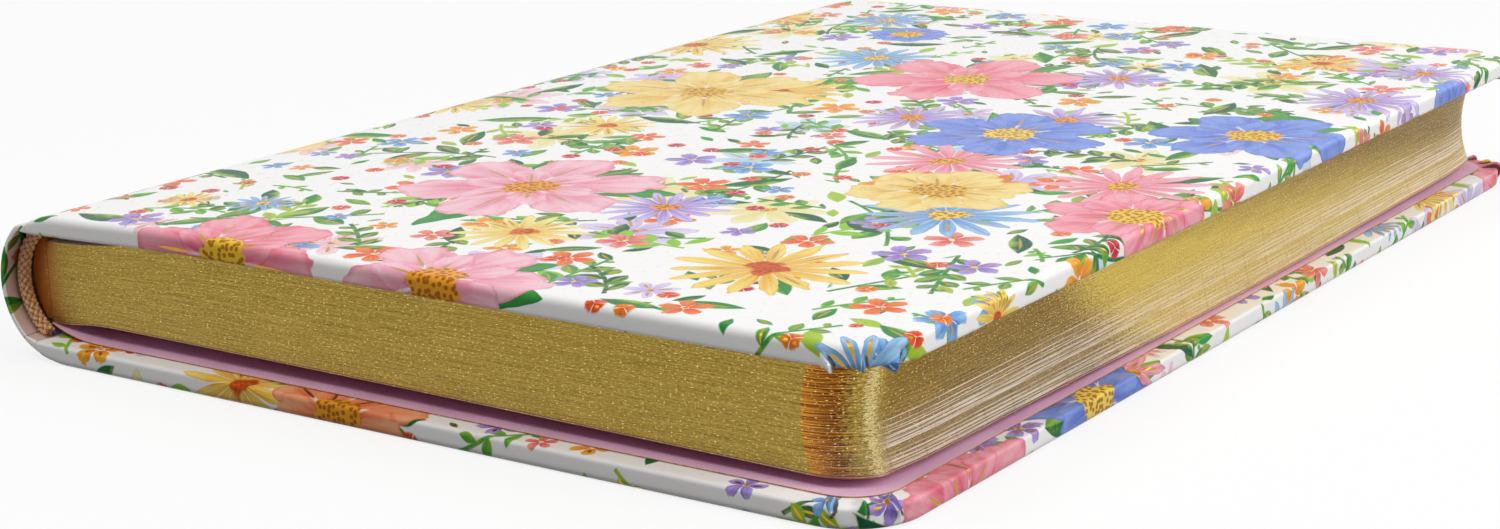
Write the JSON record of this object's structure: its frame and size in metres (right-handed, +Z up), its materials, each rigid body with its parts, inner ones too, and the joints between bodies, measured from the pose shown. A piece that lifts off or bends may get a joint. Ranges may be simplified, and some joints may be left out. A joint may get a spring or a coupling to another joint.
{
  "type": "lined notebook",
  "caption": "Case-bound lined notebook with round back, printed hard covers, lilac endpapers and gilt-edged sections; the cover, spine and leaves open flat about the back cover.",
  "frame": {"origin": "under the middle of the closed book, on the plane that the back cover lies on", "axes": "+X from the spine to the fore-edge, +Y from the tail to the head, +Z up out of the front cover"},
  "size_m": [0.1454, 0.21, 0.0222],
  "materials": {
    "board": "grey bookbinding board",
    "card": "curved spine card",
    "cover_paper": "printed and gloss laminated",
    "endpaper": "uncoated lilac",
    "pages": "writing paper with gilt edges",
    "folds": "glued folds, gilt at the ends",
    "mull": "open-weave cotton",
    "thread": "linen",
    "band": "braided cotton"
  },
  "bodies": {
    "back_cover": {"back_board": "board", "back_cover_paper": "cover_paper", "back_pastedown": "endpaper"},
    "spine": {"spine_card": "card", "spine_cover_paper": "cover_paper", "glued_folds": "folds", "mull": "mull", "sewing_thread": "thread", "head_band": "band", "tail_band": "band"},
    "front_cover": {"front_board": "board", "front_cover_paper": "cover_paper", "front_pastedown": "endpaper"},
    "back_flyleaf": {"back_flyleaf": "endpaper"},
    "section_12": {"section_12": "pages"},
    "section_11": {"section_11": "pages"},
    "section_10": {"section_10": "pages"},
    "section_09": {"section_09": "pages"},
    "section_08": {"section_08": "pages"},
    "section_07": {"section_07": "pages"},
    "section_06": {"section_06": "pages"},
    "section_05": {"section_05": "pages"},
    "section_04": {"section_04": "pages"},
    "section_03": {"section_03": "pages"},
    "section_02": {"section_02": "pages"},
    "section_01": {"section_01": "pages"},
    "front_flyleaf": {"front_flyleaf": "endpaper"}
  },
  "joints": [
    {"name": "front_cover_hinge", "type": "hinge", "parent": "spine", "child": "front_cover", "pos_m": [-0.0684, 0, 0.0178], "axis": [0, -1, 0], "range_deg": [0, 90]},
    {"name": "spine_hinge", "type": "hinge", "parent": "back_cover", "child": "spine", "pos_m": [-0.0684, 0, 0.0044], "axis": [0, -1, 0], "range_deg": [0, 90.01]},
    {"name": "back_flyleaf_hinge", "type": "hinge", "parent": "back_cover", "child": "back_flyleaf", "pos_m": [-0.0678, 0, 0.00435], "axis": [0, -1, 0], "range_deg": [0, 0.41]},
    {"name": "section_12_hinge", "type": "hinge", "parent": "back_flyleaf", "child": "section_12", "pos_m": [-0.0678, 0, 0.0046], "axis": [0, -1, 0], "range_deg": [0, 0.61]},
    {"name": "section_11_hinge", "type": "hinge", "parent": "section_12", "child": "section_11", "pos_m": [-0.0678, 0, 0.00579], "axis": [0, -1, 0], "range_deg": [0, 0.81]},
    {"name": "section_10_hinge", "type": "hinge", "parent": "section_11", "child": "section_10", "pos_m": [-0.0678, 0, 0.00698], "axis": [0, -1, 0], "range_deg": [0, 1.01]},
    {"name": "section_09_hinge", "type": "hinge", "parent": "section_10", "child": "section_09", "pos_m": [-0.0678, 0, 0.00816], "axis": [0, -1, 0], "range_deg": [0, 1.21]},
    {"name": "section_08_hinge", "type": "hinge", "parent": "section_09", "child": "section_08", "pos_m": [-0.0678, 0, 0.00935], "axis": [0, -1, 0], "range_deg": [0, 1.61]},
    {"name": "section_07_hinge", "type": "hinge", "parent": "section_08", "child": "section_07", "pos_m": [-0.0678, 0, 0.01054], "axis": [0, -1, 0], "range_deg": [0, 2.41]},
    {"name": "section_06_hinge", "type": "hinge", "parent": "section_07", "child": "section_06", "pos_m": [-0.0678, 0, 0.01172], "axis": [0, -1, 0], "range_deg": [0, 161.01]},
    {"name": "section_05_hinge", "type": "hinge", "parent": "section_06", "child": "section_05", "pos_m": [-0.0678, 0, 0.01291], "axis": [0, -1, 0], "range_deg": [0, 3.01]},
    {"name": "section_04_hinge", "type": "hinge", "parent": "section_05", "child": "section_04", "pos_m": [-0.0678, 0, 0.0141], "axis": [0, -1, 0], "range_deg": [0, 2.41]},
    {"name": "section_03_hinge", "type": "hinge", "parent": "section_04", "child": "section_03", "pos_m": [-0.0678, 0, 0.01529], "axis": [0, -1, 0], "range_deg": [0, 1.91]},
    {"name": "section_02_hinge", "type": "hinge", "parent": "section_03", "child": "section_02", "pos_m": [-0.0678, 0, 0.01648], "axis": [0, -1, 0], "range_deg": [0, 1.41]},
    {"name": "section_01_hinge", "type": "hinge", "parent": "section_02", "child": "section_01", "pos_m": [-0.0678, 0, 0.01766], "axis": [0, -1, 0], "range_deg": [0, 1.01]},
    {"name": "front_flyleaf_hinge", "type": "hinge", "parent": "section_01", "child": "front_flyleaf", "pos_m": [-0.0678, 0, 0.01885], "axis": [0, -1, 0], "range_deg": [0, 0.71]}
  ],
  "couplings": [
    {"joint": "spine_hinge", "follows": "front_cover_hinge", "ratio": 1},
    {"joint": "back_flyleaf_hinge", "follows": "front_cover_hinge", "ratio": 0.0044444},
    {"joint": "section_12_hinge", "follows": "front_cover_hinge", "ratio": 0.0066667},
    {"joint": "section_11_hinge", "follows": "front_cover_hinge", "ratio": 0.0088889},
    {"joint": "section_10_hinge", "follows": "front_cover_hinge", "ratio": 0.011111},
    {"joint": "section_09_hinge", "follows": "front_cover_hinge", "ratio": 0.013333},
    {"joint": "section_08_hinge", "follows": "front_cover_hinge", "ratio": 0.017778},
    {"joint": "section_07_hinge", "follows": "front_cover_hinge", "ratio": 0.026667},
    {"joint": "section_06_hinge", "follows": "front_cover_hinge", "ratio": 1.7889},
    {"joint": "section_05_hinge", "follows": "front_cover_hinge", "ratio": 0.033333},
    {"joint": "section_04_hinge", "follows": "front_cover_hinge", "ratio": 0.026667},
    {"joint": "section_03_hinge", "follows": "front_cover_hinge", "ratio": 0.021111},
    {"joint": "section_02_hinge", "follows": "front_cover_hinge", "ratio": 0.015556},
    {"joint": "section_01_hinge", "follows": "front_cover_hinge", "ratio": 0.011111},
    {"joint": "front_flyleaf_hinge", "follows": "front_cover_hinge", "ratio": 0.0077778}
  ]
}
